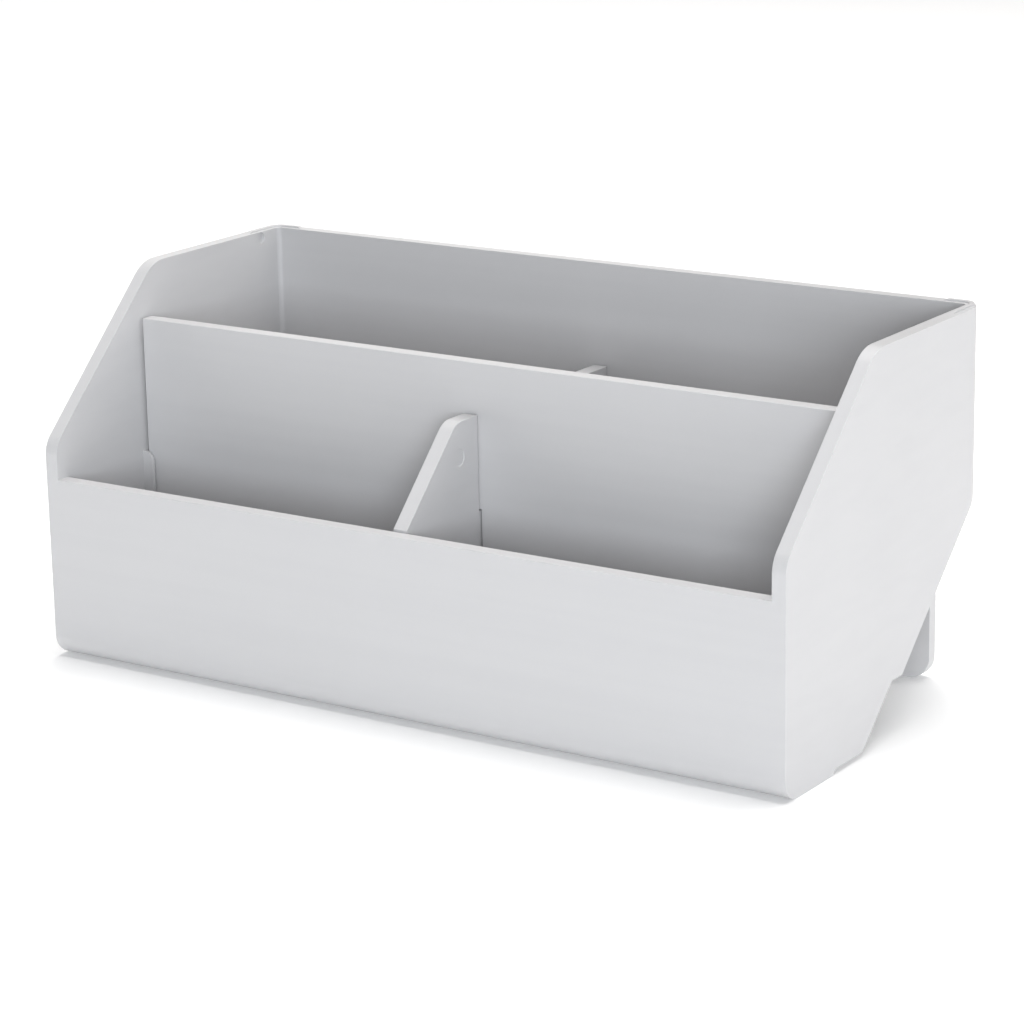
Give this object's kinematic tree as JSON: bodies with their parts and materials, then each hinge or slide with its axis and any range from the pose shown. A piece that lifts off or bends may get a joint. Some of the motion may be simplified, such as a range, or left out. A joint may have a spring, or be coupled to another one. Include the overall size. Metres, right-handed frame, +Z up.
{
  "type": "desk organizer",
  "caption": "White moulded desk organizer with a low front wall, sloped sides, a raised back on a skirt, and crossing lift-out dividers that form compartments.",
  "frame": {"origin": "on the desk, under the middle of the organizer's width and depth", "axes": "+X to the right along the long side, -Y out of the low front wall, +Z up"},
  "size_m": [0.24, 0.11, 0.1085],
  "materials": {
    "tub_plastic": "satin",
    "divider_plastic": "satin"
  },
  "bodies": {
    "tub": {"tub": "tub_plastic"},
    "cross_divider": {"cross_divider": "divider_plastic"},
    "long_divider": {"long_divider": "divider_plastic"}
  },
  "joints": [
    {"name": "cross_divider_lift", "type": "slide", "parent": "tub", "child": "cross_divider", "axis": [0, 0, 1], "range_m": [0, 0.11]},
    {"name": "long_divider_lift", "type": "slide", "parent": "cross_divider", "child": "long_divider", "axis": [0, 0, 1], "range_m": [0, 0.11]}
  ]
}
